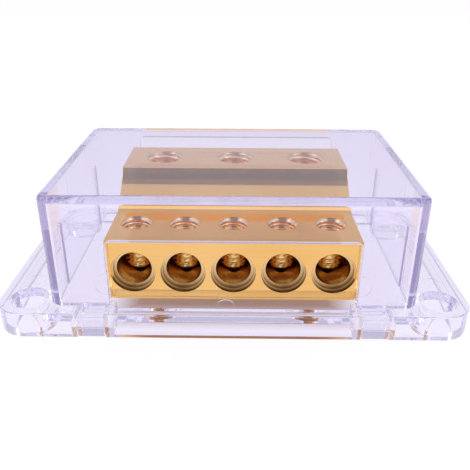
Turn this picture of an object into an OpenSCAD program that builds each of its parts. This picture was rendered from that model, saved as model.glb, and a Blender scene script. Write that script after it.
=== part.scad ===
// Power distribution block for audio cables: a stepped brass bar with clamping ports,
// screwed to a clear base and shielded by a clear lift-off cover.
// Frame: origin at the centre of the underside, +Z up, the small ports face -Y.

/* [Ports] */
// Number of small output ports along the front
port_count = 5; // [3:1:7]
// Distance between neighbouring output ports
port_pitch = 10; // [9.4:0.1:12]
// Radius of an output port's cable bore
port_r = 3.55; // [2:0.05:3.8]
// Depth of an output port's full-diameter bore
port_depth = 15.4; // [13.5:0.1:16]
// Height of the output ports' axis above the bar's underside
port_z = 6.1; // [5.8:0.1:6.6]
// Number of large input ports along the back
feed_count = 3; // [2:1:4]
// Distance between neighbouring input ports
feed_pitch = 16.4; // [14:0.1:17.5]
// Radius of an input port's cable bore
feed_r = 5.3; // [3.5:0.05:5.6]
// Depth of an input port's full-diameter bore
feed_depth = 12.6; // [12:0.1:13]
// Height of the input ports' axis above the bar's underside
feed_z = 8.1; // [7.5:0.1:8.6]
// How far the first mouth step is wider than the cable bore
mouth_step = 0.6; // [0.3:0.05:0.75]
// How far the outer mouth step is wider than the first
mouth_rim = 0.28; // [0.1:0.02:0.4]
// Depth of the outer mouth step
rim_depth = 1; // [0.6:0.05:1.4]
// Depth of the first mouth step
step_depth = 1.8; // [1.5:0.05:2.2]
// Included angle of the drilled bore ends
drill_angle = 118; // [90:1:140]

/* [Terminal bar] */
// Metal left beside the outermost output ports
bar_side_wall = 1.6; // [1.2:0.05:3]
// Height of the low front tier
front_tier_h = 13.3; // [12:0.1:14]
// Height of the tall back tier
back_tier_h = 19; // [17.5:0.1:19.4]
// Depth of the low front tier, front to back
front_tier_d = 22.2; // [21:0.1:23]
// Depth of the tall back tier
back_tier_d = 14.8; // [14:0.1:16]
// Radius of the hollow slope between the two tiers
slope_r = 10.7; // [7:0.1:11]

/* [Clamping screws] */
// Radius of an output clamping screw over its thread
port_screw_r = 3; // [2:0.05:3.1]
// Length of an output clamping screw
port_screw_len = 8; // [6:0.25:8]
// How far an output screw sits below the bar's front tier
port_screw_drop = 2.35; // [2:0.05:3]
// Distance of the output screws behind the bar's front face
port_screw_y = 8.7; // [8:0.1:10]
// Hexagon socket of an output screw, across flats
port_screw_hex = 3; // [2:0.1:3.2]
// Radius of an input clamping screw over its thread
feed_screw_r = 4; // [3:0.05:4.2]
// Length of an input clamping screw
feed_screw_len = 12; // [10:0.25:12.5]
// How far an input screw sits below the bar's back tier
feed_screw_drop = 3.5; // [2.5:0.1:4]
// Distance of the input screws ahead of the bar's back face
feed_screw_y = 7.4; // [6.5:0.1:8]
// Hexagon socket of an input screw, across flats
feed_screw_hex = 4; // [3:0.1:4.2]
// Radial running gap round each screw's thread
thread_gap = 0.05; // [0.02:0.01:0.1]
// Lead-in chamfer at the top of a tapped hole
tap_chamfer = 0.18; // [0.05:0.01:0.3]
// Chamfer at a clamping screw's lower end
tip_chamfer = 1.5; // [0.4:0.05:1.6]
// Chamfer at a clamping screw's upper end
crown_chamfer = 0.35; // [0.1:0.05:0.5]

/* [Base] */
// Length of the base
base_w = 96; // [92:0.5:110]
// Depth of the base
base_d = 54; // [53:0.5:64]
// Height of the base plate's top face
base_h = 5.6; // [5:0.1:8]
// Thickness of the base's top plate
plate_t = 2.5; // [2:0.1:3]
// Thickness of the skirt round the base
skirt_t = 2; // [1.5:0.1:3]
// Radius of the base's corners
corner_r = 6; // [5.5:0.1:8]
// Height of the raised seat under the bar
seat_h = 0.7; // [0.4:0.05:1]
// How far the seat reaches out past the cover
seat_reach = 1.6; // [0.5:0.05:2.2]
// Radius of a mounting hole
hole_r = 3.5; // [2:0.05:3.7]
// Radius of the recess round a mounting hole
recess_r = 3.85; // [3.75:0.05:4.5]
// Depth of the recess round a mounting hole
recess_depth = 1; // [0.5:0.1:2]
// Wall of the tube round each mounting hole
tube_wall = 1.8; // [1.2:0.1:2]

/* [Bar fixing screws] */
// Distance between the two fixing screws
fixing_pitch = 34; // [30:0.2:36]
// Position of the fixing screws, front to back
fixing_y = -2.9; // [-3.3:0.1:-2.4]
// Radius of a fixing screw's shank
fixing_r = 2; // [1.5:0.05:2.1]
// Length of a fixing screw's shank
fixing_len = 8; // [6:0.25:9]
// Radius of a fixing screw's head
fixing_head_r = 3.5; // [3:0.05:3.8]
// Height of a fixing screw's head
fixing_head_h = 2.3; // [1.6:0.05:2.6]
// Width of each slot of a fixing screw's cross recess
cross_w = 0.9; // [0.5:0.05:1.2]
// Length of each slot of a fixing screw's cross recess
cross_l = 4.2; // [3:0.1:5]
// Depth of a fixing screw's cross recess
cross_depth = 1.4; // [0.8:0.1:1.5]
// Gap round a fixing screw in the base
fixing_gap = 0.2; // [0.05:0.05:0.5]
// Wall of the boss round a fixing screw's head
boss_wall = 1.6; // [1.2:0.1:2.5]
// How far tapped and clearance holes run on past a screw's end
end_gap = 0.4; // [0.2:0.1:0.8]

/* [Cover] */
// Length of the cover outside
cover_w = 74; // [72:0.5:80]
// Depth of the cover outside
cover_d = 48; // [47.8:0.1:49]
// Overall height of the cover's top above the underside
cover_top = 29.2; // [28:0.1:34]
// Thickness of the cover's walls and top
cover_t = 1.8; // [1.5:0.05:2]
// Radius of the cover's upright corners
cover_corner_r = 2.5; // [2.4:0.1:5]
// Radius of the rounding along the cover's upper edges
cover_edge_r = 1.2; // [0.4:0.05:1.2]
// How much narrower each window side is than the bar
window_lap = 0.3; // [0.1:0.05:0.8]
// Gap above the bar in each window
window_gap = 0.3; // [0.1:0.05:0.8]
// Radius of the windows' upper corners
window_corner_r = 1.3; // [0.5:0.1:3]
// Width of the slits in the cover's ends
slit_w = 1; // [0.6:0.1:1.6]
// Height of the slits in the cover's ends
slit_h = 14.6; // [8:0.1:18]
// Distance between the two slits in an end
slit_pitch = 30.4; // [24:0.2:36]

/* [Locating feet] */
// Width of a foot on the cover
foot_w = 5.3; // [4:0.1:6]
// Distance between the two feet on one side
foot_pitch = 56.6; // [56:0.2:59]
// How far a foot's top lies below the base's top
foot_drop = 0.7; // [0.3:0.05:1.5]
// How far a foot stops above the underside
foot_lift = 0.3; // [0.2:0.05:1]
// Gap round a foot in its notch
foot_gap = 0.15; // [0.1:0.05:0.3]
// Wall round each notch
notch_wall = 1.4; // [1:0.1:1.6]

/* [Moulding marks] */
// Radius of the round marks on the base
ejector_r = 2; // [1:0.1:2.5]
// Depth of all moulding marks
mark_depth = 0.15; // [0.05:0.05:0.3]
// Radius of the round mark on the seat's front
gate_r = 1.6; // [1:0.05:1.7]
// Sideways place of the mark on the seat's front
gate_x = -1.5; // [-20:0.5:20]
// Radius of the round marks beside the front window
wall_mark_r = 2.4; // [1:0.1:3]
// Height of the marks beside the front window
wall_mark_z = 10; // [9:0.1:14]

/* [Hidden] */
$fn = 96;
eps = 0.01;              // overcut, so that no cut ends flush with a face

// Bar, worked out from its ports
bar_w = (port_count - 1) * port_pitch + 2 * (port_r + bar_side_wall);
bar_d = front_tier_d + back_tier_d;
bar_z = base_h + seat_h;
seat_gap = 0.1;          // between the cover's inner face and the bar's front
bar_front = -cover_d / 2 + cover_t + seat_gap;
bar_step = bar_front + front_tier_d;
bar_back = bar_front + bar_d;
front_top = bar_z + front_tier_h;
back_top = bar_z + back_tier_h;

// Clamping screws
port_screw_at = bar_front + port_screw_y;
feed_screw_at = bar_back - feed_screw_y;
port_screw_top = front_top - port_screw_drop;
feed_screw_top = back_top - feed_screw_drop;

// Fixing screws, from the underside upwards
plate_z = base_h - plate_t;
head_z = plate_z - fixing_head_h;
tapped_h = plate_z + fixing_len + end_gap - bar_z;

// Base
hole_x = base_w / 2 - corner_r;
hole_y = base_d / 2 - corner_r;
seat_side_gap = 0.2;     // between the seat and each side of the windows
seat_w = bar_w - 2 * (window_lap + seat_side_gap);
seat_d = cover_d + 2 * seat_reach;
ejector_y = 13.7;        // marks on the end flanges, front and back of the middle
ejector_x = hole_x + 0.8; // and a little outside the holes
notch_w = foot_w + 2 * foot_gap;
notch_in = cover_d / 2 - cover_t - foot_gap;

// Cover
window_w = bar_w - 2 * window_lap;
front_window_top = front_top + window_gap;
back_window_top = back_top + window_gap;
foot_top = base_h - foot_drop;
wall_mark_x = window_w / 2 + 0.4;

function port_x(i) = (i - (port_count - 1) / 2) * port_pitch;
function feed_x(i) = (i - (feed_count - 1) / 2) * feed_pitch;

// Rectangle with true round corners, centred
module round_rect(w, d, r) {
    square([w - 2 * r, d], center = true);
    square([w, d - 2 * r], center = true);
    for (x = [-1, 1], y = [-1, 1])
        translate([x * (w / 2 - r), y * (d / 2 - r)]) circle(r);
}

// Four copies, one to each corner position
module at_corners(x, y) {
    for (sx = [-1, 1], sy = [-1, 1]) translate([sx * x, sy * y, 0]) children();
}

// Stepped cable bore along +Y from its mouth, with a drilled end
module cable_bore(r, depth) {
    first_r = r + mouth_step;
    rim_r = first_r + mouth_rim;
    tip = r / tan(drill_angle / 2);
    rotate([-90, 0, 0]) rotate_extrude()
        polygon([[0, -eps], [rim_r, -eps], [rim_r, rim_depth], [first_r, rim_depth],
                 [first_r, step_depth], [r, step_depth], [r, depth], [0, depth + tip]]);
}

// Tapped hole down from z = 0, with a lead-in chamfer
module tapped_hole(r, depth) {
    wall_r = r + thread_gap;
    mouth_r = wall_r + tap_chamfer;
    rotate_extrude()
        polygon([[0, -depth], [wall_r, -depth], [wall_r, -tap_chamfer],
                 [mouth_r, 0], [mouth_r, eps], [0, eps]]);
}

// Headless clamping screw, its top at z = 0, with a hexagon socket
module clamping_screw(r, length, hex) {
    socket_r = hex / sqrt(3);
    socket_depth = hex;
    difference() {
        rotate_extrude()
            polygon([[0, -length], [r - tip_chamfer, -length], [r, tip_chamfer - length],
                     [r, -crown_chamfer], [r - crown_chamfer, 0], [0, 0]]);
        translate([0, 0, -socket_depth])
            cylinder(r = socket_r, h = socket_depth + eps, $fn = 6);
    }
}

// End view of the bar: two tiers joined by a hollow slope that runs out into the low one
module bar_profile() {
    rise = back_tier_h - front_tier_h;
    slope_d = sqrt(pow(slope_r, 2) - pow(slope_r - rise, 2));
    translate([bar_front, bar_z]) square([bar_d, front_tier_h]);
    translate([bar_step, bar_z]) square([back_tier_d, back_tier_h]);
    difference() {
        translate([bar_step - slope_d, front_top - eps]) square([slope_d + eps, rise + eps]);
        translate([bar_step - slope_d, front_top + slope_r]) circle(slope_r);
    }
}

// Stepped bar with its cable bores and tapped holes
module terminal_bar() {
    color("goldenrod")
    difference() {
        rotate([90, 0, 90]) linear_extrude(bar_w, center = true) bar_profile();
        for (i = [0 : port_count - 1]) {
            translate([port_x(i), bar_front, bar_z + port_z]) cable_bore(port_r, port_depth);
            translate([port_x(i), port_screw_at, front_top])
                tapped_hole(port_screw_r, front_tier_h - port_z);
        }
        for (i = [0 : feed_count - 1]) {
            translate([feed_x(i), bar_back, bar_z + feed_z])
                rotate([0, 0, 180]) cable_bore(feed_r, feed_depth);
            translate([feed_x(i), feed_screw_at, back_top])
                tapped_hole(feed_screw_r, back_tier_h - feed_z);
        }
        for (x = [-1, 1])
            translate([x * fixing_pitch / 2, fixing_y, bar_z - eps])
                cylinder(r = fixing_r + thread_gap, h = tapped_h + eps);
    }
}

module port_screw(i) {
    color("gold")
    translate([port_x(i), port_screw_at, port_screw_top])
        clamping_screw(port_screw_r, port_screw_len, port_screw_hex);
}

module feed_screw(i) {
    color("gold")
    translate([feed_x(i), feed_screw_at, feed_screw_top])
        clamping_screw(feed_screw_r, feed_screw_len, feed_screw_hex);
}

// Cheese-head screw that holds the bar from below, with a cross recess
module fixing_screw(side) {
    color("peru")
    translate([side * fixing_pitch / 2, fixing_y, 0])
    difference() {
        union() {
            translate([0, 0, head_z]) cylinder(r = fixing_head_r, h = fixing_head_h);
            translate([0, 0, plate_z - eps]) cylinder(r = fixing_r, h = fixing_len + eps);
        }
        for (turn = [0, 90])
            translate([0, 0, head_z - eps]) rotate([0, 0, turn])
                translate([-cross_l / 2, -cross_w / 2, 0])
                    cube([cross_l, cross_w, cross_depth + eps]);
    }
}

// Clear base: a shallow shell with tubes, bosses, a seat and four notches
module base() {
    tube_r = hole_r + tube_wall;
    boss_r = fixing_head_r + fixing_gap + boss_wall;
    box_w = notch_w + 2 * notch_wall;
    box_d = base_d / 2 - notch_in + notch_wall;
    color("lavender", 0.5)
    difference() {
        union() {
            difference() {
                linear_extrude(base_h) round_rect(base_w, base_d, corner_r);
                translate([0, 0, -eps]) linear_extrude(plate_z + eps)
                    round_rect(base_w - 2 * skirt_t, base_d - 2 * skirt_t, corner_r - skirt_t);
            }
            translate([-seat_w / 2, -seat_d / 2, base_h - eps]) cube([seat_w, seat_d, seat_h + eps]);
            at_corners(hole_x, hole_y) cylinder(r = tube_r, h = plate_z + eps);
            for (x = [-1, 1]) translate([x * fixing_pitch / 2, fixing_y, 0])
                cylinder(r = boss_r, h = plate_z + eps);
            for (sx = [-1, 1], sy = [-1, 1]) scale([1, sy, 1])
                translate([sx * foot_pitch / 2 - box_w / 2, notch_in - notch_wall, 0])
                    cube([box_w, box_d, plate_z + eps]);
        }
        at_corners(hole_x, hole_y) {
            translate([0, 0, -eps]) cylinder(r = hole_r, h = base_h + 2 * eps);
            translate([0, 0, base_h - recess_depth]) cylinder(r = recess_r, h = recess_depth + eps);
        }
        for (x = [-1, 1]) translate([x * fixing_pitch / 2, fixing_y, -eps]) {
            cylinder(r = fixing_head_r + fixing_gap, h = plate_z + eps);
            cylinder(r = fixing_r + fixing_gap, h = bar_z + 2 * eps);
        }
        for (sx = [-1, 1], sy = [-1, 1]) scale([1, sy, 1])
            translate([sx * foot_pitch / 2 - notch_w / 2, notch_in, -eps])
                cube([notch_w, base_d / 2, base_h + 2 * eps]);
        at_corners(ejector_x, ejector_y)
            translate([0, 0, base_h - mark_depth]) cylinder(r = ejector_r, h = mark_depth + eps);
        translate([gate_x, bar_front - gate_r - seat_gap, bar_z - mark_depth])
            cylinder(r = gate_r, h = mark_depth + eps);
    }
}

// Window outline in a cover wall, open at the bottom
module window(top) {
    height = top - base_h;
    translate([-window_w / 2, base_h - 1]) square([window_w, height + 1 - window_corner_r]);
    translate([window_corner_r - window_w / 2, base_h])
        square([window_w - 2 * window_corner_r, height]);
    for (x = [-1, 1])
        translate([x * (window_w / 2 - window_corner_r), top - window_corner_r])
            circle(window_corner_r);
}

// One foot: a leg below the cover's wall and a toe flush with the base's edge
module foot() {
    leg_in = cover_d / 2 - cover_t;
    leg_h = base_h - foot_lift;
    translate([-foot_w / 2, leg_in, foot_lift]) cube([foot_w, cover_t, leg_h + 1]);
    translate([-foot_w / 2, cover_d / 2 - eps, foot_lift])
        cube([foot_w, (base_d - cover_d) / 2 + eps, foot_top - foot_lift]);
}

// Solid block the size of the cover, its upright corners and upper edges rounded
module cover_block() {
    height = cover_top - base_h;
    arc_h = height - cover_edge_r;
    translate([0, 0, base_h]) {
        rotate([90, 0, 0]) linear_extrude(cover_d - 2 * cover_corner_r, center = true)
            end_profile(cover_w, height);
        rotate([90, 0, 90]) linear_extrude(cover_w - 2 * cover_corner_r, center = true)
            end_profile(cover_d, height);
        at_corners(cover_w / 2 - cover_corner_r, cover_d / 2 - cover_corner_r) rotate_extrude() {
            square([cover_corner_r, arc_h]);
            square([cover_corner_r - cover_edge_r, height]);
            translate([cover_corner_r - cover_edge_r, arc_h]) circle(cover_edge_r);
        }
    }
}

// Upright rectangle standing on y = 0, its two upper corners rounded
module end_profile(w, h) {
    translate([-w / 2, 0]) square([w, h - cover_edge_r]);
    translate([cover_edge_r - w / 2, 0]) square([w - 2 * cover_edge_r, h]);
    for (x = [-1, 1]) translate([x * (w / 2 - cover_edge_r), h - cover_edge_r]) circle(cover_edge_r);
}

// Clear cover: a five-sided box with a window front and back
module cover() {
    inner_r = cover_corner_r - cover_t;
    color("lavender", 0.3)
    difference() {
        union() {
            difference() {
                cover_block();
                translate([0, 0, base_h - eps]) linear_extrude(cover_top - base_h - cover_t + eps)
                    round_rect(cover_w - 2 * cover_t, cover_d - 2 * cover_t, inner_r);
            }
            for (sx = [-1, 1], sy = [-1, 1]) scale([1, sy, 1])
                translate([sx * foot_pitch / 2, 0, 0]) foot();
        }
        translate([0, -cover_d / 2 + cover_t + eps, 0]) rotate([90, 0, 0])
            linear_extrude(cover_t + 2 * eps) window(front_window_top);
        translate([0, cover_d / 2 + eps, 0]) rotate([90, 0, 0])
            linear_extrude(cover_t + 2 * eps) window(back_window_top);
        for (sx = [-1, 1], sy = [-1, 1])
            translate([sx * (cover_w / 2 - cover_t / 2), sy * slit_pitch / 2, base_h]) {
                translate([-cover_t / 2 - eps, -slit_w / 2, -eps])
                    cube([cover_t + 2 * eps, slit_w, slit_h - slit_w / 2 + eps]);
                translate([-cover_t / 2 - eps, 0, slit_h - slit_w / 2])
                    rotate([0, 90, 0]) cylinder(r = slit_w / 2, h = cover_t + 2 * eps);
            }
        for (x = [-1, 1])
            translate([x * wall_mark_x, -cover_d / 2 + cover_t + eps, wall_mark_z])
                rotate([90, 0, 0]) cylinder(r = wall_mark_r, h = mark_depth + eps);
    }
}

base();
cover();
terminal_bar();
port_screw(0);  // port_screw_1
port_screw(1);  // port_screw_2
port_screw(2);  // port_screw_3
port_screw(3);  // port_screw_4
port_screw(4);  // port_screw_5
feed_screw(0);  // feed_screw_1
feed_screw(1);  // feed_screw_2
feed_screw(2);  // feed_screw_3
fixing_screw(-1);  // fixing_screw_left
fixing_screw(1);  // fixing_screw_right
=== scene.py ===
import bpy
import bmesh
from math import cos, hypot, pi, radians, sin
from mathutils import Matrix, Vector


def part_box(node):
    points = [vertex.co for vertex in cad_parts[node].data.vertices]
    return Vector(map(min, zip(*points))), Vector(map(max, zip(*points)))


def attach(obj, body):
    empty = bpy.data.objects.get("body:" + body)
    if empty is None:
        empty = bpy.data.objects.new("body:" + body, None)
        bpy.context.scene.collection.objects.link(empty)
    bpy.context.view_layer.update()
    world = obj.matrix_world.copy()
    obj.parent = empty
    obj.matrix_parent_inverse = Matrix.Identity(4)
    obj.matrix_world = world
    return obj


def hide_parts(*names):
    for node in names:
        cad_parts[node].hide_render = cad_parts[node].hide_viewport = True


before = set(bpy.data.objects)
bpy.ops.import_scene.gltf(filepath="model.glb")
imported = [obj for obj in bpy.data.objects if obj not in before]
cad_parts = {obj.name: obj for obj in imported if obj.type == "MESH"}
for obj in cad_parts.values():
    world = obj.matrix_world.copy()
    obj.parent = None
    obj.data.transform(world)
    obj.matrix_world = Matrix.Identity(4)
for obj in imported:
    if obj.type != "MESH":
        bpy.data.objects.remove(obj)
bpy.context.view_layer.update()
mm = 0.001  # every size below is in millimetres


def boxMm(node):
    low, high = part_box(node)
    return low / mm, high / mm


baseHigh = boxMm("base")[1]
coverLow, coverHigh = boxMm("cover")
barLow, barHigh = boxMm("terminal_bar")
print("frame loaded:", len(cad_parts), "CAD nodes")


# ---- node helpers

def addNode(tree, kind, values=None, **settings):
    node = tree.nodes.new(kind)
    for key, value in settings.items():
        setattr(node, key, value)
    for key, value in (values or {}).items():
        if isinstance(value, bpy.types.NodeSocket):
            tree.links.new(value, node.inputs[key])
        else:
            node.inputs[key].default_value = value
    return node


def calc(tree, operation, *terms, clamp=False):
    node = addNode(tree, "ShaderNodeMath", dict(enumerate(terms)), operation=operation, use_clamp=clamp)
    return node.outputs[0]


def blendColour(tree, share, first, second):
    node = addNode(tree, "ShaderNodeMix", {0: share, 6: first, 7: second}, data_type="RGBA")
    return node.outputs[2]


def band(tree, value, low, high, toLow, toHigh):
    node = addNode(tree, "ShaderNodeMapRange",
                   {"Value": value, "From Min": low, "From Max": high, "To Min": toLow, "To Max": toHigh})
    return node.outputs["Result"]


def noise(tree, place, scale, detail=3.0, stretch=(1, 1, 1), roughness=0.5):
    stretched = addNode(tree, "ShaderNodeMapping", {"Vector": place, "Scale": stretch}).outputs[0]
    node = addNode(tree, "ShaderNodeTexNoise",
                   {"Vector": stretched, "Scale": scale, "Detail": detail, "Roughness": roughness})
    return node.outputs["Fac"]


# ---- materials

def startMaterial(name):
    material = bpy.data.materials.new(name)
    material.use_nodes = True
    tree = material.node_tree
    tree.nodes.clear()
    output = addNode(tree, "ShaderNodeOutputMaterial")
    place = addNode(tree, "ShaderNodeTexCoord").outputs["Object"]
    return material, tree, output, place


def clearPlastic(name, look):
    material, tree, output, place = startMaterial(name)
    sag = noise(tree, place, look["sagScale"], detail=1.0)     # slow waviness of a moulded wall
    grain = noise(tree, place, look["grainScale"], detail=2.0)
    height = calc(tree, "MULTIPLY_ADD", grain, look["grainShare"], sag)
    bump = addNode(tree, "ShaderNodeBump",
                   {"Height": height, "Strength": 1.0, "Distance": look["waviness"] * mm})
    clouds = noise(tree, place, look["hazeScale"], detail=4.0)   # faint handling haze
    haze = band(tree, clouds, 0.45, 0.75, *look["roughness"])
    plastic = addNode(tree, "ShaderNodeBsdfPrincipled", {
        "Base Color": look["colour"], "Roughness": haze, "IOR": look["ior"],
        "Transmission Weight": 1.0, "Normal": bump.outputs[0]})
    passed = addNode(tree, "ShaderNodeBsdfTransparent", {"Color": look["shadow"]})
    isShadow = addNode(tree, "ShaderNodeLightPath").outputs["Is Shadow Ray"]
    mixed = addNode(tree, "ShaderNodeMixShader",
                    {0: isShadow, 1: plastic.outputs[0], 2: passed.outputs[0]})
    depth = addNode(tree, "ShaderNodeVolumeAbsorption",
                    {"Color": look["depthColour"], "Density": look["density"]})
    tree.links.new(mixed.outputs[0], output.inputs["Surface"])
    tree.links.new(depth.outputs[0], output.inputs["Volume"])
    return material


wear = {"cloudScale": 160, "cloudRoughness": 0.05, "stainScale": 55}


def platedBrass(name, look):
    material, tree, output, place = startMaterial(name)
    # fine lines left by the cutter
    lines = noise(tree, place, 1.0, detail=4.0, stretch=look["lineStretch"], roughness=0.65)
    cloud = noise(tree, place, wear["cloudScale"], detail=4.0)
    stain = noise(tree, place, wear["stainScale"], detail=2.0)
    tone = blendColour(tree, band(tree, stain, 0.35, 0.7, 0.0, 1.0), look["colour"], look["deepColour"])
    lit = blendColour(tree, band(tree, lines, 0.3, 0.75, 0.0, look["lineTone"]), tone, look["paleColour"])
    rough = calc(tree, "ADD", band(tree, lines, 0.3, 0.7, *look["roughness"]),
                 band(tree, cloud, 0.4, 0.8, 0.0, wear["cloudRoughness"]))
    bump = addNode(tree, "ShaderNodeBump", {"Height": lines, "Strength": look["lineStrength"],
                                            "Distance": look["lineDepth"] * mm})
    metal = addNode(tree, "ShaderNodeBsdfPrincipled", {
        "Base Color": lit, "Metallic": 1.0, "Roughness": rough, "Normal": bump.outputs[0]})
    tree.links.new(metal.outputs[0], output.inputs["Surface"])
    return material


plasticLook = {
    "colour": (0.968, 0.957, 1.0, 1), "ior": 1.5, "roughness": (0.0, 0.035), "waviness": 0.03,
    "shadow": (0.965, 0.96, 0.985, 1), "depthColour": (0.66, 0.63, 0.95, 1), "density": 8.0,
    "sagScale": 45, "grainScale": 900, "grainShare": 0.04, "hazeScale": 120,
}
clearBase = clearPlastic("clearBase", plasticLook | {
    "colour": (0.985, 0.98, 0.998, 1), "shadow": (0.985, 0.98, 0.995, 1), "density": 6.0})
clearCover = clearPlastic("clearCover", plasticLook)
slitPlastic = clearPlastic("slitPlastic", plasticLook | {
    "roughness": (0.35, 0.5), "colour": (0.84, 0.80, 0.84, 1)})

# metal finishes, with copies of the bar's gold that carry painted shade and painted highlight in its
# hollows: the lines run along the bar outside, round each bore, and round each screw
turned = {"lineStretch": (900, 900, 2600), "lineTone": 0.4, "lineStrength": 0.2, "lineDepth": 0.01}
bored = {"lineStretch": (900, 2600, 900), "lineTone": 0.4, "lineStrength": 0.25, "lineDepth": 0.012}
goldBar = platedBrass("goldBar", {
    "colour": (1.0, 0.62, 0.20, 1), "deepColour": (0.94, 0.54, 0.14, 1),
    "paleColour": (1.0, 0.69, 0.28, 1), "roughness": (0.03, 0.10),
    "lineStretch": (60, 2200, 2200), "lineTone": 0.5, "lineStrength": 0.3, "lineDepth": 0.012})
# painted shade: a darker copy of the bar's gold for the inside of the bores and tapped holes
shadedBoreBrass = platedBrass("shadedBoreBrass", bored | {
    "colour": (0.74, 0.52, 0.29, 1), "deepColour": (0.61, 0.40, 0.21, 1),
    "paleColour": (0.84, 0.63, 0.38, 1), "roughness": (0.12, 0.28)})
# painted highlight: a paler copy of the bar's gold for the flat rings in each port mouth
litRingBrass = platedBrass("litRingBrass", bored | {
    "colour": (1.0, 0.72, 0.33, 1), "deepColour": (0.98, 0.67, 0.28, 1),
    "paleColour": (1.0, 0.80, 0.42, 1), "roughness": (0.34, 0.44),
    "lineStrength": 0.2, "lineDepth": 0.01})
# painted shade: a near-black copy of the bar's gold for the walls of each port mouth's steps
shadedStepBrass = platedBrass("shadedStepBrass", bored | {
    "colour": (0.24, 0.15, 0.07, 1), "deepColour": (0.18, 0.11, 0.05, 1),
    "paleColour": (0.32, 0.22, 0.11, 1), "roughness": (0.12, 0.28)})
threadBrass = platedBrass("threadBrass", turned | {
    "colour": (0.98, 0.80, 0.52, 1), "deepColour": (0.92, 0.70, 0.42, 1),
    "paleColour": (1.0, 0.86, 0.62, 1), "roughness": (0.08, 0.18)})
goldScrew = platedBrass("goldScrew", turned | {
    "colour": (1.0, 0.78, 0.40, 1), "deepColour": (0.94, 0.68, 0.30, 1),
    "paleColour": (1.0, 0.86, 0.54, 1), "roughness": (0.08, 0.18)})
brassScrew = platedBrass("brassScrew", turned | {
    "colour": (0.78, 0.47, 0.22, 1), "deepColour": (0.64, 0.36, 0.16, 1),
    "paleColour": (0.88, 0.60, 0.33, 1), "roughness": (0.18, 0.34), "lineStretch": (900, 900, 1500)})
print("materials made")


# ---- pieces taken from the CAD solids, with softened edges

def settle(name, mesh, material, body, replaced, smoothUpTo=32):
    piece = bpy.data.objects.new(name, mesh)
    bpy.context.scene.collection.objects.link(piece)
    mesh.materials.clear()
    mesh.materials.append(material)
    mesh.shade_smooth()
    mesh.set_sharp_from_angle(angle=radians(smoothUpTo))
    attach(piece, body)
    if replaced:
        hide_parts(*replaced)
    return piece


def plainMesh(holder):
    return bpy.data.meshes.new_from_object(holder.evaluated_get(bpy.context.evaluated_depsgraph_get()))


softening = {"weld": 0.002, "flatWithin": 0.6, "edgeFrom": 30, "segments": 3, "smoothUpTo": 36}


def softenedCopy(name, node, width, weightAt, lift=None, apart=None):
    form = bmesh.new()
    form.from_mesh(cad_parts[node].data)
    bmesh.ops.remove_doubles(form, verts=form.verts, dist=softening["weld"] * mm)
    bmesh.ops.dissolve_limit(form, angle_limit=radians(softening["flatWithin"]), verts=form.verts,
                             edges=form.edges)
    weights = form.edges.layers.float.new("bevel_weight_edge")
    for edge in form.edges:
        if edge.is_manifold and edge.calc_face_angle(0) > radians(softening["edgeFrom"]):
            middle = (edge.verts[0].co + edge.verts[1].co) / 2 / mm
            edge[weights] = weightAt(middle, edge)
    for face in form.faces:
        if apart:
            face.material_index = apart(face.calc_center_median() / mm, face.normal)
    for vert in form.verts:
        if lift:
            vert.co.z += lift(vert.co / mm) * mm
    mesh = bpy.data.meshes.new(name + "Draft")
    form.to_mesh(mesh)
    form.free()
    holder = bpy.data.objects.new(name + "Draft", mesh)
    bpy.context.scene.collection.objects.link(holder)
    bevel = holder.modifiers.new("edges", "BEVEL")
    bevel.width, bevel.segments, bevel.limit_method = width * mm, softening["segments"], "WEIGHT"
    bevel.use_clamp_overlap = False
    rounded = plainMesh(holder)
    form = bmesh.new()
    form.from_mesh(rounded)
    for face in form.faces:
        face.smooth = True
    for edge in form.edges:
        edge.smooth = edge.calc_face_angle(pi) < radians(softening["smoothUpTo"])
    form.to_mesh(rounded)
    form.free()
    holder.modifiers.clear()
    holder.data = rounded
    # big flat faces stay flat beside their rounded edges
    even = holder.modifiers.new("even", "WEIGHTED_NORMAL")
    even.weight, even.keep_sharp = 100, True
    shaped = plainMesh(holder)
    shaped.name = name
    bpy.data.objects.remove(holder)
    return shaped


def keepNormals(name, mesh, materials, body, replaced):
    piece = bpy.data.objects.new(name, mesh)
    bpy.context.scene.collection.objects.link(piece)
    for number, material in enumerate(materials):
        if number < len(mesh.materials):
            mesh.materials[number] = material
        else:
            mesh.materials.append(material)
    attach(piece, body)
    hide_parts(*replaced)
    return piece


def near(value, *targets, gap=0.03):
    return any(abs(value - target) < gap for target in targets)


# edge weights: 1 is the full width of a piece's rounded edge, 0 leaves the edge sharp
baseForm = {
    "edge": 0.3, "plateTop": 5.6, "seatTop": 6.3, "plateUnder": 3.1, "airGap": 0.02, "corner": 6.0,
    "mark": (42.8, 13.7, 2.3), "markAbove": 5.0, "gate": (-1.5, -23.8, 1.9), "gateAbove": 5.9,
    "gateWeight": 0.3, "otherWeight": 0.45}


def baseWeight(at, edge):
    markX, markY, reach = baseForm["mark"]
    if hypot(abs(at.x) - markX, abs(at.y) - markY) < reach and at.z > baseForm["markAbove"]:
        return 0.0
    gateX, gateY, reach = baseForm["gate"]
    if hypot(at.x - gateX, at.y - gateY) < reach and at.z > baseForm["gateAbove"]:
        return baseForm["gateWeight"]
    corner, slack = baseForm["corner"], 0.1
    inX, inY = abs(at.x) - baseHigh.x + corner, abs(at.y) - baseHigh.y + corner
    rim = inX > -slack and inY > -slack and hypot(inX, inY) > corner - slack
    outer = near(abs(at.x), baseHigh.x) or near(abs(at.y), baseHigh.y) or rim
    return 1.0 if outer and near(at.z, baseForm["plateTop"], 0.0) else baseForm["otherWeight"]


def baseLift(at):
    if near(at.z, baseForm["seatTop"]):
        return -baseForm["airGap"]
    return baseForm["airGap"] if near(at.z, baseForm["plateUnder"]) else 0.0


baseMesh = softenedCopy("clearBase", "base", baseForm["edge"], baseWeight, baseLift)
keepNormals("clearBase", baseMesh, [clearBase], "base", ["base"])

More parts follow.
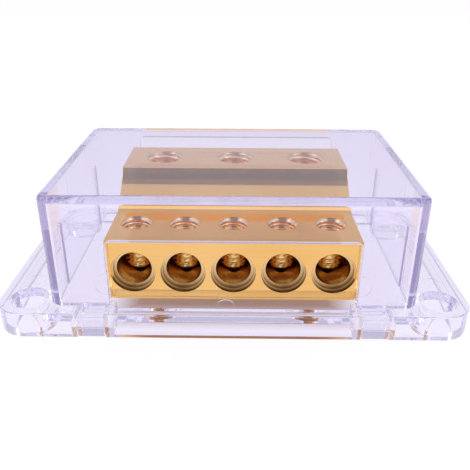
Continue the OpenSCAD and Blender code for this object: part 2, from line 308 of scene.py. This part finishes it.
coverForm = {
    "edge": 0.35, "foot": 5.6, "airGap": 0.03, "roof": 1.8, "mark": (25.25, 10.0, 2.6),
    "window": 24.85, "windowUpTo": 15.0, "frontWall": 3.2, "slitY": 15.2, "slitHalf": 0.6,
    "slitTop": 20.5, "slitDepth": 1.9, "roofWeight": 0.8, "otherWeight": 0.4}


def coverWeight(at, edge):
    markX, markZ, reach = coverForm["mark"]
    inFront = coverLow.y + coverForm["frontWall"] < at.y < 0
    if inFront and hypot(abs(at.x) - markX, at.z - markZ) < reach:
        return 0.0
    if inFront and near(abs(at.x), coverForm["window"]) and at.z < coverForm["windowUpTo"]:
        return 0.0
    if near(at.z, coverHigh.z):
        return 1.0
    underRoof = near(at.z, coverHigh.z - coverForm["roof"])
    return coverForm["roofWeight"] if underRoof else coverForm["otherWeight"]


def coverLift(at):
    return coverForm["airGap"] if near(at.z, coverForm["foot"]) else 0.0


def coverPart(at, normal):
    beside = near(abs(at.y), coverForm["slitY"], gap=coverForm["slitHalf"])
    outside = abs(at.x) > coverHigh.x - coverForm["slitDepth"]
    return int(beside and outside and at.z < coverForm["slitTop"])


coverMesh = softenedCopy("clearCover", "cover", coverForm["edge"], coverWeight, coverLift, coverPart)
keepNormals("clearCover", coverMesh, [clearCover, slitPlastic], "cover", ["cover"])

barForm = {"edge": 0.2, "step": 0.1, "tier": 19.6, "mouth": 1.85, "rim": 0.1, "end": 1.0,
           "longEdge": 0.5, "holeWeight": 0.4}


def barWeight(at, edge):
    if near(abs(at.x), barHigh.x):
        return 1.0
    planes = (near(at.y, barLow.y, barForm["step"], barHigh.y)
              + near(at.z, barLow.z, barForm["tier"], barHigh.z))
    if planes > 1 and edge.calc_length() > barForm["longEdge"] * mm:
        return 1.0
    return barForm["holeWeight"] if planes and near(at.y, barLow.y, barHigh.y) else 0.0


def barPart(at, normal):
    onSlope = at.z > barForm["tier"] and at.y < barForm["step"]
    onFace = near(at.z, barLow.z, barForm["tier"], barHigh.z) or onSlope
    depth = min(at.y - barLow.y, barHigh.y - at.y)
    if onFace or depth < barForm["rim"] or abs(at.x) > barHigh.x - barForm["end"]:
        return 0   # outside
    if depth > barForm["mouth"]:
        return 1   # bores and tapped holes, in painted shade
    return 2 if abs(normal.y) > 0.5 else 3   # a mouth's rings, in painted highlight, and its walls, in painted shade


barMesh = softenedCopy("goldBar", "terminal_bar", barForm["edge"], barWeight, apart=barPart)
keepNormals("goldBar", barMesh, [goldBar, shadedBoreBrass, litRingBrass, shadedStepBrass], "base",
            ["terminal_bar"])
print("base, cover and bar made")


# ---- threads and screws, grown with Geometry Nodes

def startTree(name, inputs):
    tree = bpy.data.node_groups.new(name, "GeometryNodeTree")
    tree.interface.new_socket("Geometry", in_out="OUTPUT", socket_type="NodeSocketGeometry")
    for label, kind in inputs.items():
        tree.interface.new_socket(label, in_out="INPUT", socket_type="NodeSocket" + kind)
    return tree, addNode(tree, "NodeGroupInput").outputs


def closeTree(tree, mesh, material):
    welded = addNode(tree, "GeometryNodeMergeByDistance", {"Geometry": mesh, "Distance": 1e-6}).outputs[0]
    whole = addNode(tree, "GeometryNodeRealizeInstances", {"Geometry": welded}).outputs[0]
    dressed = addNode(tree, "GeometryNodeSetMaterial", {"Geometry": whole, "Material": material})
    addNode(tree, "NodeGroupOutput", {"Geometry": dressed.outputs[0]})


def grow(name, tree, values):
    holder = bpy.data.objects.new(name + "Draft", bpy.data.meshes.new(name + "Draft"))
    bpy.context.scene.collection.objects.link(holder)
    modifier = holder.modifiers.new("grow", "NODES")
    modifier.node_group = tree
    items = [item for item in tree.interface.items_tree if item.in_out == "INPUT"]
    sockets = {item.name: item.identifier for item in items}
    for label, value in values.items():
        modifier[sockets[label]] = value
    mesh = plainMesh(holder)
    mesh.name = name
    bpy.data.objects.remove(holder)
    return mesh


def turnGrid(tree, turns, rows):
    # a flat grid that the tree wraps into a turned surface: x is the angle, y runs along the profile
    grid = addNode(tree, "GeometryNodeMeshGrid", {
        "Size X": 1.0, "Size Y": 1.0, "Vertices X": turns + 1, "Vertices Y": rows + 1}).outputs[0]
    position = addNode(tree, "GeometryNodeInputPosition").outputs[0]
    spot = addNode(tree, "ShaderNodeSeparateXYZ", {0: position}).outputs
    angle = calc(tree, "MULTIPLY", calc(tree, "ADD", spot[0], 0.5), 2 * pi)
    along = calc(tree, "MULTIPLY", calc(tree, "ADD", spot[1], 0.5), float(rows))
    return grid, angle, along


def wrap(tree, grid, angle, radius, height, place=None):
    spot = addNode(tree, "ShaderNodeCombineXYZ", {
        0: calc(tree, "MULTIPLY", radius, calc(tree, "COSINE", angle)),
        1: calc(tree, "MULTIPLY", radius, calc(tree, "SINE", angle)), 2: height}).outputs[0]
    if place is not None:
        spot = addNode(tree, "ShaderNodeVectorMath", {0: spot, 1: place}, operation="ADD").outputs[0]
    return addNode(tree, "GeometryNodeSetPosition", {"Geometry": grid, "Position": spot}).outputs[0]


# crest half width, flank width (both as shares of half a pitch) and depth (as a share of the pitch)
threadForm = {"crest": 0.14, "flank": 0.62, "depth": 0.58}


def threadRadius(tree, radius, pitch, angle, height):
    # 60 degree screw thread: flat crest, sloping flanks, flat root
    phase = calc(tree, "FRACT", calc(tree, "SUBTRACT", calc(tree, "DIVIDE", height, pitch),
                                     calc(tree, "DIVIDE", angle, 2 * pi)))
    away = calc(tree, "ABSOLUTE", calc(tree, "MULTIPLY_ADD", phase, 2.0, -1.0))
    into = calc(tree, "SUBTRACT", away, threadForm["crest"])
    cut = calc(tree, "DIVIDE", into, threadForm["flank"], clamp=True)
    depth = calc(tree, "MULTIPLY", calc(tree, "MULTIPLY", cut, pitch), threadForm["depth"])
    return calc(tree, "SUBTRACT", radius, depth)


def rampsOf(tree, along, rows):
    # one 0 to 1 rise for each part of the profile, over that part's rows
    rises, begun = {}, 0
    for part, count in rows.items():
        rises[part] = calc(tree, "MULTIPLY_ADD", along, 1 / count, -begun / count, clamp=True)
        begun += count
    return rises


screwRows = {"tip": 1, "point": 18, "thread": 96, "crown": 4, "rim": 1, "wall": 1, "floor": 1}
clampTree, given = startTree("clampScrew", {
    "Radius": "Float", "Length": "Float", "Pitch": "Float", "Point": "Float", "Crown": "Float",
    "Socket Flats": "Float", "Socket Depth": "Float", "Top": "Vector", "Material": "Material"})
grid, angle, along = turnGrid(clampTree, 60, sum(screwRows.values()))
ramps = rampsOf(clampTree, along, screwRows)


def sumOf(tree, *pairs):
    total = 0.0
    for share, amount in pairs:
        total = calc(tree, "MULTIPLY_ADD", share, amount, total)
    return total


topZ = addNode(clampTree, "ShaderNodeSeparateXYZ", {0: given["Top"]}).outputs[2]
threadLength = calc(clampTree, "SUBTRACT", calc(clampTree, "SUBTRACT", given["Length"], given["Point"]),
                    given["Crown"])
height = sumOf(clampTree, (ramps["point"], given["Point"]), (ramps["thread"], threadLength),
               (ramps["crown"], given["Crown"]),
               (ramps["wall"], calc(clampTree, "MULTIPLY", given["Socket Depth"], -1.0)))
height = calc(clampTree, "SUBTRACT", height, given["Length"])
plain = sumOf(clampTree, (ramps["tip"], calc(clampTree, "SUBTRACT", given["Radius"], given["Point"])),
              (ramps["point"], given["Point"]),
              (ramps["crown"], calc(clampTree, "MULTIPLY", given["Crown"], -1.0)))
threaded = threadRadius(clampTree, given["Radius"], given["Pitch"], angle,
                        calc(clampTree, "ADD", height, topZ))
outside = calc(clampTree, "MINIMUM", plain, threaded)
sixth = calc(clampTree, "SUBTRACT", calc(clampTree, "MODULO", angle, pi / 3), pi / 6)
hexagon = calc(clampTree, "DIVIDE", calc(clampTree, "MULTIPLY", given["Socket Flats"], 0.5),
               calc(clampTree, "COSINE", sixth))
inside = calc(clampTree, "MULTIPLY", hexagon, calc(clampTree, "SUBTRACT", 1.0, ramps["floor"]))
notRim = calc(clampTree, "SUBTRACT", 1.0, ramps["rim"])
radius = sumOf(clampTree, (notRim, outside), (ramps["rim"], inside))
closeTree(clampTree, wrap(clampTree, grid, angle, radius, height, given["Top"]), given["Material"])

clampScrews = {
    "port": {"radius": 3.0, "length": 8.0, "pitch": 1.0, "point": 1.5, "crown": 0.35, "flats": 3.0,
             "count": 5},
    "feed": {"radius": 4.0, "length": 12.0, "pitch": 1.25, "point": 1.5, "crown": 0.35, "flats": 4.0,
             "count": 3},
}
for kind, sizes in clampScrews.items():
    for number in range(1, sizes["count"] + 1):
        node = f"{kind}_screw_{number}"
        low, high = boxMm(node)
        top = Vector(((low.x + high.x) / 2, (low.y + high.y) / 2, high.z)) * mm
        name = f"{kind}Screw{number}"
        mesh = grow(name, clampTree, {
            "Radius": sizes["radius"] * mm, "Length": sizes["length"] * mm, "Pitch": sizes["pitch"] * mm,
            "Point": sizes["point"] * mm, "Crown": sizes["crown"] * mm,
            "Socket Flats": sizes["flats"] * mm, "Socket Depth": sizes["flats"] * mm, "Top": top,
            "Material": goldScrew})
        settle(name, mesh, goldScrew, node, [node])
print("clamping screws made")

# the thread inside a tapped hole: a ring sunk into the bar, cut off where it meets the cable bore
tapRows = {"inner": 72, "under": 1, "outer": 1, "over": 1}
tapTree, given = startTree("tappedThread", {
    "Radius": "Float", "Pitch": "Float", "Gap": "Float", "Sunk": "Float", "Top": "Float",
    "Bore Radius": "Float", "Bore Height": "Float", "Count": "Int", "First": "Vector", "Step": "Vector",
    "Material": "Material"})
grid, angle, along = turnGrid(tapTree, 72, sum(tapRows.values()))
down = rampsOf(tapTree, along, tapRows)
wall = calc(tapTree, "ADD", given["Radius"], given["Gap"])
across = calc(tapTree, "MULTIPLY", wall, calc(tapTree, "COSINE", angle))
boreSquare = calc(tapTree, "POWER", given["Bore Radius"], 2.0)
acrossSquare = calc(tapTree, "POWER", across, 2.0)
boreRise = calc(tapTree, "SQRT", calc(tapTree, "SUBTRACT", boreSquare, acrossSquare))
bottom = calc(tapTree, "ADD", given["Bore Height"], boreRise)
depth = calc(tapTree, "SUBTRACT", given["Top"], bottom)
climb = calc(tapTree, "ADD", calc(tapTree, "SUBTRACT", 1.0, down["inner"]), down["outer"])
height = calc(tapTree, "MULTIPLY_ADD", climb, depth, bottom)
crest = threadRadius(tapTree, given["Radius"], given["Pitch"], angle, height)
crest = calc(tapTree, "ADD", crest, given["Gap"])
leadIn = calc(tapTree, "SUBTRACT", wall, calc(tapTree, "SUBTRACT", given["Top"], height))
innerR = calc(tapTree, "MAXIMUM", crest, leadIn)
outerR = calc(tapTree, "ADD", wall, given["Sunk"])
side = calc(tapTree, "SUBTRACT", down["under"], down["over"])
radius = sumOf(tapTree, (calc(tapTree, "SUBTRACT", 1.0, side), innerR), (side, outerR))
ring = wrap(tapTree, grid, angle, radius, height)
ring = addNode(tapTree, "GeometryNodeMergeByDistance", {"Geometry": ring, "Distance": 1e-6}).outputs[0]
spots = addNode(tapTree, "GeometryNodeMeshLine", {
    "Count": given["Count"], "Start Location": given["First"], "Offset": given["Step"]}).outputs[0]
rings = addNode(tapTree, "GeometryNodeInstanceOnPoints", {"Points": spots, "Instance": ring}).outputs[0]
closeTree(tapTree, rings, given["Material"])

tapFit = {"gap": 0.05, "sunk": 0.12, "below": 0.18}
tappedHoles = {
    "port": {"top": barForm["tier"] - tapFit["below"], "bore": 3.55, "boreZ": 12.4, "step": 10.0},
    "feed": {"top": barHigh.z - tapFit["below"], "bore": 5.3, "boreZ": 14.4, "step": 16.4},
}
for kind, sizes in tappedHoles.items():
    screw = clampScrews[kind]
    low, high = boxMm(f"{kind}_screw_1")
    first = Vector(((low.x + high.x) / 2, (low.y + high.y) / 2, 0)) * mm
    mesh = grow(f"{kind}Threads", tapTree, {
        "Radius": screw["radius"] * mm, "Pitch": screw["pitch"] * mm,
        "Gap": tapFit["gap"] * mm, "Sunk": tapFit["sunk"] * mm,
        "Top": sizes["top"] * mm, "Bore Radius": sizes["bore"] * mm, "Bore Height": sizes["boreZ"] * mm,
        "Count": screw["count"], "First": first, "Step": (sizes["step"] * mm, 0, 0),
        "Material": threadBrass})
    settle(f"{kind}Threads", mesh, threadBrass, "base", [])
print("tapped threads made")

# the two screws that hold the bar: a threaded shank pointing up, a cheese head with a cross
fixingRows = {"end": 1, "lead": 3, "thread": 90, "under": 1, "side": 1, "face": 1}
fixingTree, given = startTree("fixingScrew", {
    "Radius": "Float", "Shank": "Float", "Pitch": "Float", "Lead": "Float", "Head Radius": "Float",
    "Head Height": "Float", "Cross Width": "Float", "Cross Length": "Float", "Cross Depth": "Float",
    "Seat": "Vector", "Material": "Material"})
grid, angle, along = turnGrid(fixingTree, 48, sum(fixingRows.values()))
steps = rampsOf(fixingTree, along, fixingRows)
# the profile runs downwards, so the angle runs the other way
back = calc(fixingTree, "MULTIPLY", angle, -1.0)
fullR = calc(fixingTree, "SUBTRACT", given["Radius"], given["Lead"])
plain = sumOf(fixingTree, (steps["end"], fullR), (steps["lead"], given["Lead"]))
height = calc(fixingTree, "SUBTRACT", given["Shank"], sumOf(
    fixingTree, (steps["lead"], given["Lead"]),
    (steps["thread"], calc(fixingTree, "SUBTRACT", given["Shank"], given["Lead"])),
    (steps["side"], given["Head Height"])))
cut = threadRadius(fixingTree, given["Radius"], given["Pitch"], back, height)
shank = calc(fixingTree, "MINIMUM", plain, cut)
notFace = calc(fixingTree, "SUBTRACT", 1.0, steps["face"])
notUnder = calc(fixingTree, "SUBTRACT", 1.0, steps["under"])
head = calc(fixingTree, "MULTIPLY", given["Head Radius"], notFace)
radius = sumOf(fixingTree, (notUnder, shank), (steps["under"], head))
body = wrap(fixingTree, grid, back, radius, height)
body = addNode(fixingTree, "GeometryNodeMergeByDistance", {"Geometry": body, "Distance": 1e-6}).outputs[0]
crossZ = calc(fixingTree, "MULTIPLY", given["Head Height"], -1.0)
arms = []
for sizeX, sizeY in (("Cross Length", "Cross Width"), ("Cross Width", "Cross Length")):
    sizeZ = calc(fixingTree, "MULTIPLY", given["Cross Depth"], 2.0)
    block = addNode(fixingTree, "ShaderNodeCombineXYZ",
                    {0: given[sizeX], 1: given[sizeY], 2: sizeZ}).outputs[0]
    cube = addNode(fixingTree, "GeometryNodeMeshCube", {"Size": block}).outputs[0]
    lower = addNode(fixingTree, "ShaderNodeCombineXYZ", {2: crossZ}).outputs[0]
    arm = addNode(fixingTree, "GeometryNodeTransform", {"Geometry": cube, "Translation": lower})
    arms.append(arm.outputs[0])
cutter = addNode(fixingTree, "GeometryNodeMeshBoolean", operation="UNION", solver="EXACT")
for arm in arms:
    fixingTree.links.new(arm, cutter.inputs["Mesh 2"])
carved = addNode(fixingTree, "GeometryNodeMeshBoolean", {"Mesh 1": body}, operation="DIFFERENCE",
                 solver="EXACT")
fixingTree.links.new(cutter.outputs[0], carved.inputs["Mesh 2"])
placed = addNode(fixingTree, "GeometryNodeTransform",
                 {"Geometry": carved.outputs[0], "Translation": given["Seat"]}).outputs[0]
closeTree(fixingTree, placed, given["Material"])

fixingScrew = {"radius": 2.0, "shank": 8.0, "pitch": 0.7, "lead": 0.3, "headR": 3.5, "headH": 2.3,
               "crossW": 0.9, "crossL": 4.2, "crossD": 1.4, "seatZ": 3.1}
for side in ("left", "right"):
    node = "fixing_screw_" + side
    low, high = boxMm(node)
    seat = Vector(((low.x + high.x) / 2, (low.y + high.y) / 2, fixingScrew["seatZ"])) * mm
    name = "fixingScrew" + side.capitalize()
    mesh = grow(name, fixingTree, {
        "Radius": fixingScrew["radius"] * mm, "Shank": fixingScrew["shank"] * mm,
        "Pitch": fixingScrew["pitch"] * mm,
        "Lead": fixingScrew["lead"] * mm, "Head Radius": fixingScrew["headR"] * mm,
        "Head Height": fixingScrew["headH"] * mm, "Cross Width": fixingScrew["crossW"] * mm,
        "Cross Length": fixingScrew["crossL"] * mm, "Cross Depth": fixingScrew["crossD"] * mm,
        "Seat": seat, "Material": brassScrew})
    settle(name, mesh, brassScrew, "base", [node])
print("fixing screws made")


# ---- floor, surroundings, lamps and camera

# the floor is white to the camera; other rays see a mix of real light and a soft lavender glow
studio = {
    "floorHalf": 2500.0, "floorDrop": 0.03, "paperScale": 300, "paper": (0.90, 0.87, 0.97, 1),
    "paperLight": (0.92, 0.89, 0.98, 1), "seenShare": 0.6, "glowShare": 0.8, "seen": (1.3, 1.3, 1.3, 1),
    # painted shade: the brown glow colour for the floor under the bar
    "glow": (0.98, 0.94, 1.08, 1), "underBarShade": (0.42, 0.27, 0.22, 1), "shadeInset": 5.0, "shadeReach": 6.0,
    "room": (0.82, 0.79, 0.93, 1), "back": (0.60, 0.575, 0.68, 1), "top": (0.24, 0.23, 0.28, 1),
    "dark": (0.13, 0.125, 0.14, 1)}

# where the room's tones begin and end, as shares of the direction's x, y and z
roomPlan = {
    "darkNorth": (-0.12, -0.25), "darkEast": (0.28, 0.40), "darkFrom": (0.42, 0.52),
    "darkTo": (0.88, 0.93), "backNorth": (0.0, 0.3), "backFrom": (0.05, 0.25), "topFrom": (0.84, 0.92)}


def makeFloor():
    half = studio["floorHalf"] * mm
    mesh = bpy.data.meshes.new("floor")
    z = -studio["floorDrop"] * mm
    corners = [(-half, -half, z), (half, -half, z), (half, half, z), (-half, half, z)]
    mesh.from_pydata(corners, [], [(0, 1, 2, 3)])
    floor = bpy.data.objects.new("floor", mesh)
    bpy.context.scene.collection.objects.link(floor)
    material, tree, output, place = startMaterial("floorPaper")
    fibre = noise(tree, place, studio["paperScale"], detail=4.0)
    paper = blendColour(tree, fibre, studio["paper"], studio["paperLight"])
    lit = addNode(tree, "ShaderNodeBsdfDiffuse", {"Color": paper})
    isCamera = addNode(tree, "ShaderNodeLightPath").outputs["Is Camera Ray"]
    # under the bar the glow is a painted brown shade, standing in for the bar's shadow and the light that
    # the metal throws back
    spot = addNode(tree, "ShaderNodeSeparateXYZ", {0: place}).outputs
    inset = Vector((studio["shadeInset"], studio["shadeInset"], 0))
    middle, reach = (barLow + barHigh) / 2, (barHigh - barLow) / 2 - inset
    acrossX = calc(tree, "ABSOLUTE", spot[0])
    acrossY = calc(tree, "ABSOLUTE", calc(tree, "SUBTRACT", spot[1], middle.y * mm))
    aside = calc(tree, "MAXIMUM", calc(tree, "SUBTRACT", acrossX, reach.x * mm), 0.0)
    beyond = calc(tree, "MAXIMUM", calc(tree, "SUBTRACT", acrossY, reach.y * mm), 0.0)
    away = calc(tree, "MAXIMUM", aside, beyond)
    inOpen = band(tree, away, 0.0, studio["shadeReach"] * mm, 0.0, 1.0)
    unseen = blendColour(tree, inOpen, studio["underBarShade"], studio["glow"])
    colour = blendColour(tree, isCamera, unseen, studio["seen"])
    glow = addNode(tree, "ShaderNodeEmission", {"Color": colour, "Strength": 1.0})
    change = studio["seenShare"] - studio["glowShare"]
    share = calc(tree, "MULTIPLY_ADD", isCamera, change, studio["glowShare"])
    both = addNode(tree, "ShaderNodeMixShader", {0: share, 1: lit.outputs[0], 2: glow.outputs[0]})
    behind = addNode(tree, "ShaderNodeNewGeometry").outputs["Backfacing"]
    clear = addNode(tree, "ShaderNodeBsdfTransparent")
    final = addNode(tree, "ShaderNodeMixShader", {0: behind, 1: both.outputs[0], 2: clear.outputs[0]})
    tree.links.new(final.outputs[0], output.inputs["Surface"])
    mesh.materials.append(material)


def makeWorld():
    world = bpy.data.worlds.new("studioRoom")
    bpy.context.scene.world = world
    world.use_nodes = True
    tree = world.node_tree
    tree.nodes.clear()
    output = addNode(tree, "ShaderNodeOutputWorld")
    gaze = addNode(tree, "ShaderNodeTexCoord").outputs["Generated"]
    east, north, rise = addNode(tree, "ShaderNodeSeparateXYZ", {0: gaze}).outputs
    # the room in front is dark from 25 to 65 degrees up; the room behind and the ceiling are dimmer
    ahead = band(tree, north, *roomPlan["darkNorth"], 0.0, 1.0)
    middle = band(tree, calc(tree, "ABSOLUTE", east), *roomPlan["darkEast"], 1.0, 0.0)
    above = band(tree, rise, *roomPlan["darkFrom"], 0.0, 1.0)
    below = band(tree, rise, *roomPlan["darkTo"], 1.0, 0.0)
    wide = calc(tree, "MULTIPLY", ahead, middle)
    patch = calc(tree, "MULTIPLY", wide, calc(tree, "MULTIPLY", above, below))
    behind = calc(tree, "MULTIPLY", band(tree, north, *roomPlan["backNorth"], 0.0, 1.0),
                  band(tree, rise, *roomPlan["backFrom"], 0.0, 1.0))
    walls = blendColour(tree, behind, studio["room"], studio["back"])
    overhead = band(tree, rise, *roomPlan["topFrom"], 0.0, 1.0)
    ceiling = blendColour(tree, overhead, walls, studio["top"])
    room = blendColour(tree, patch, ceiling, studio["dark"])
    isCamera = addNode(tree, "ShaderNodeLightPath").outputs["Is Camera Ray"]
    colour = blendColour(tree, isCamera, room, studio["seen"])
    sky = addNode(tree, "ShaderNodeBackground", {"Color": colour, "Strength": 1.0})
    tree.links.new(sky.outputs[0], output.inputs["Surface"])


lampAim = (0, 0, 10)
lampPlan = {
    "overhead": {"at": (0, 160, 700), "size": (1100, 700), "power": 1.2, "colour": (1, 0.985, 1)},
    "left": {"at": (-480, -120, 260), "size": (120, 200), "power": 0.25, "colour": (1, 1, 1)},
    "right": {"at": (480, -120, 260), "size": (120, 200), "power": 0.25, "colour": (1, 1, 1)},
}


def makeLamps():
    for name, plan in lampPlan.items():
        lamp = bpy.data.lights.new(name, "AREA")
        lamp.shape, lamp.size, lamp.size_y = "RECTANGLE", plan["size"][0] * mm, plan["size"][1] * mm
        lamp.energy, lamp.color = plan["power"], plan["colour"]
        holder = bpy.data.objects.new(name, lamp)
        bpy.context.scene.collection.objects.link(holder)
        holder.location = Vector(plan["at"]) * mm
        beam = Vector(lampAim) - Vector(plan["at"])
        holder.rotation_euler = beam.to_track_quat("-Z", "Y").to_euler()


shot = {"at": (1.28, -119.9, 68.7), "pitch": 0.455, "yaw": -0.010, "roll": 0.004, "lens": 567 / 470 * 36}


def makeCamera():
    lens = bpy.data.cameras.new("camera")
    lens.lens, lens.sensor_width, lens.clip_start, lens.clip_end = shot["lens"], 36, 0.005, 20
    camera = bpy.data.objects.new("camera", lens)
    bpy.context.scene.collection.objects.link(camera)
    ahead = Vector((sin(shot["yaw"]), cos(shot["yaw"]), 0))
    right = Vector((cos(shot["yaw"]), -sin(shot["yaw"]), 0))
    gaze = ahead * cos(shot["pitch"]) - Vector((0, 0, sin(shot["pitch"])))
    up = ahead * sin(shot["pitch"]) + Vector((0, 0, cos(shot["pitch"])))
    tilted = right * cos(shot["roll"]) + up * sin(shot["roll"])
    upright = up * cos(shot["roll"]) - right * sin(shot["roll"])
    camera.matrix_world = Matrix((
        (tilted.x, upright.x, -gaze.x, shot["at"][0] * mm),
        (tilted.y, upright.y, -gaze.y, shot["at"][1] * mm),
        (tilted.z, upright.z, -gaze.z, shot["at"][2] * mm), (0, 0, 0, 1)))
    bpy.context.scene.camera = camera


makeFloor()
makeWorld()
makeLamps()
makeCamera()
scene = bpy.context.scene
scene.view_settings.view_transform = "Standard"
scene.cycles.max_bounces = 64
scene.cycles.transmission_bounces = 64
scene.cycles.glossy_bounces = 64   # light that stays inside a clear wall is counted as glossy
scene.cycles.transparent_max_bounces = 16
print("studio made")
